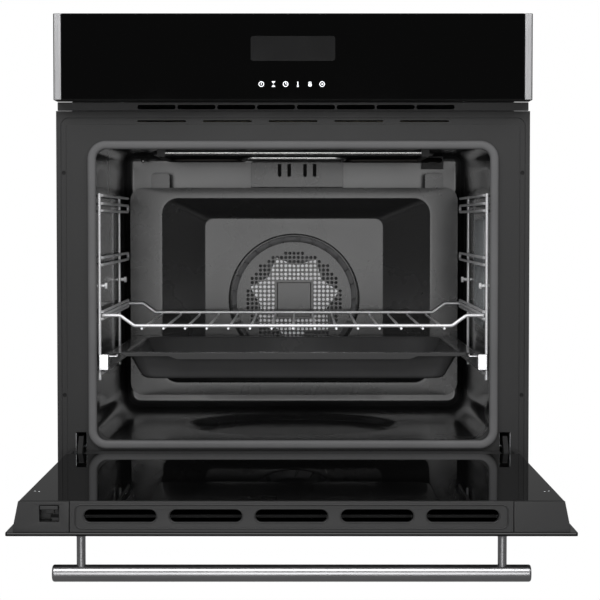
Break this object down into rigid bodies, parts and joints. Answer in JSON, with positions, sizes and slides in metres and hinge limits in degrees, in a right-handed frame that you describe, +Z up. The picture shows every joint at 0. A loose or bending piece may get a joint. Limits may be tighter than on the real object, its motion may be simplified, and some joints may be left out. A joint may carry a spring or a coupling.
{
  "type": "built-in wall oven",
  "caption": "Built-in wall oven with a drop-down glass door, touch control panel, enamelled oven space, wire rack, tray on telescopic runners and hot-air fan.",
  "frame": {"origin": "middle of the oven's width, on the underside of the base, in the plane of the front frame's face", "axes": "+X to the right seen from the front, +Y to the back of the niche, +Z up; the door lies open towards -Y"},
  "size_m": [0.595, 0.9985, 0.632],
  "materials": {
    "frame_enamel": "satin black powder coat",
    "trim_black": "fine matt moulded",
    "panel_glass": "back-printed black glass",
    "steel_trim": "brushed along its length",
    "carrier_plastic": "moulded",
    "circuit_board": "solder mask with parts",
    "oven_enamel": "glossy speckled enamel",
    "panel_enamel": "satin grey enamel",
    "heater_steel": "oxidised tube",
    "heater_front": "bright tube",
    "dark_clip": "matt",
    "seal_rubber": "soft silicone over a braid",
    "chrome_wire": "polished plating",
    "runner_steel": "bright drawn",
    "bright_steel": "bright stamped",
    "motor_steel": "laminated stack",
    "casing_steel": "galvanised",
    "lamp_glass": "ribbed",
    "bulb_glass": "clear with ceramic base",
    "wool": "mineral wool",
    "terminal_plastic": "moulded",
    "door_glass_outer": "black printed, polished",
    "door_glass_middle": "tinted",
    "door_glass_inner": "dark reflective coat",
    "door_metal": "satin black",
    "handle_steel": "brushed",
    "tray_enamel": "glossy enamel"
  },
  "bodies": {
    "chassis": {"front_frame": "frame_enamel", "vent_trim": "trim_black", "control_panel_glass": "panel_glass", "panel_ends": "steel_trim", "panel_carrier": "carrier_plastic", "display_board": "circuit_board", "cavity": "oven_enamel", "rear_panel": "panel_enamel", "fan_cover": "panel_enamel", "steam_outlet_cover": "panel_enamel", "ring_heater": "heater_steel", "grill_element": "heater_front", "grill_clips": "dark_clip", "bottom_element": "heater_steel", "fan_motor": "motor_steel", "door_gasket": "seal_rubber", "side_rack_left": "chrome_wire", "side_rack_right": "chrome_wire", "rack_studs": "chrome_wire", "runner_rails": "runner_steel", "lamp_housing": "casing_steel", "lamp_bulb": "bulb_glass", "lamp_cover": "lamp_glass", "temperature_probe": "heater_front", "insulation": "wool", "side_panel_left": "casing_steel", "side_panel_right": "casing_steel", "top_cover": "casing_steel", "base_plate": "casing_steel", "back_cover": "casing_steel", "duct_floor": "casing_steel", "air_duct": "casing_steel", "cooling_fan_housing": "casing_steel", "cooling_fan_motor": "motor_steel", "power_board": "circuit_board", "terminal_block": "terminal_plastic", "casing_screws": "runner_steel", "hinge_sockets": "casing_steel", "hinge_arms": "dark_clip"},
    "door": {"door_hinges": "runner_steel", "hinge_pins": "bright_steel", "door_outer_glass": "door_glass_outer", "door_middle_glass": "door_glass_middle", "door_inner_glass": "door_glass_inner", "glass_spacers": "seal_rubber", "door_column_left": "door_metal", "door_column_right": "door_metal", "door_top_profile": "door_metal", "door_bottom_profile": "door_metal", "door_corner_caps": "door_metal", "handle_bar": "handle_steel", "handle_posts": "handle_steel", "handle_screws": "runner_steel"},
    "release_tab": {"glass_release_tab": "door_metal"},
    "hot_air_rotor": {"hot_air_fan": "bright_steel"},
    "cooling_rotor": {"cooling_fan": "bright_steel"},
    "sliding_rack": {"wire_rack": "chrome_wire"},
    "tray_carriage": {"tray": "tray_enamel", "runner_slides": "runner_steel"},
    "runner_middle": {"runner_middles": "runner_steel"}
  },
  "joints": [
    {"name": "door_hinge", "type": "hinge", "parent": "chassis", "child": "door", "pos_m": [0, -0.02, 0.039], "axis": [1, 0, 0], "range_deg": [-90, 0]},
    {"name": "release_press", "type": "slide", "parent": "door", "child": "release_tab", "axis": [0, 1, 0], "range_m": [0, 0.003], "stiffness_N_per_m": 400},
    {"name": "rack_slide", "type": "slide", "parent": "chassis", "child": "sliding_rack", "axis": [0, -1, 0], "range_m": [0, 0.3]},
    {"name": "tray_slide", "type": "slide", "parent": "chassis", "child": "tray_carriage", "axis": [0, -1, 0], "range_m": [0, 0.3]},
    {"name": "runner_slide", "type": "slide", "parent": "chassis", "child": "runner_middle", "axis": [0, -1, 0], "range_m": [0, 0.15]},
    {"name": "hot_air_spin", "type": "hinge", "parent": "chassis", "child": "hot_air_rotor", "pos_m": [0, 0.43, 0.2293], "axis": [0, 1, 0], "continuous": true},
    {"name": "cooling_spin", "type": "hinge", "parent": "chassis", "child": "cooling_rotor", "pos_m": [0, 0.4, 0.5], "axis": [0, 0, 1], "continuous": true}
  ],
  "couplings": [
    {"joint": "runner_slide", "follows": "tray_slide", "ratio": 0.5}
  ]
}
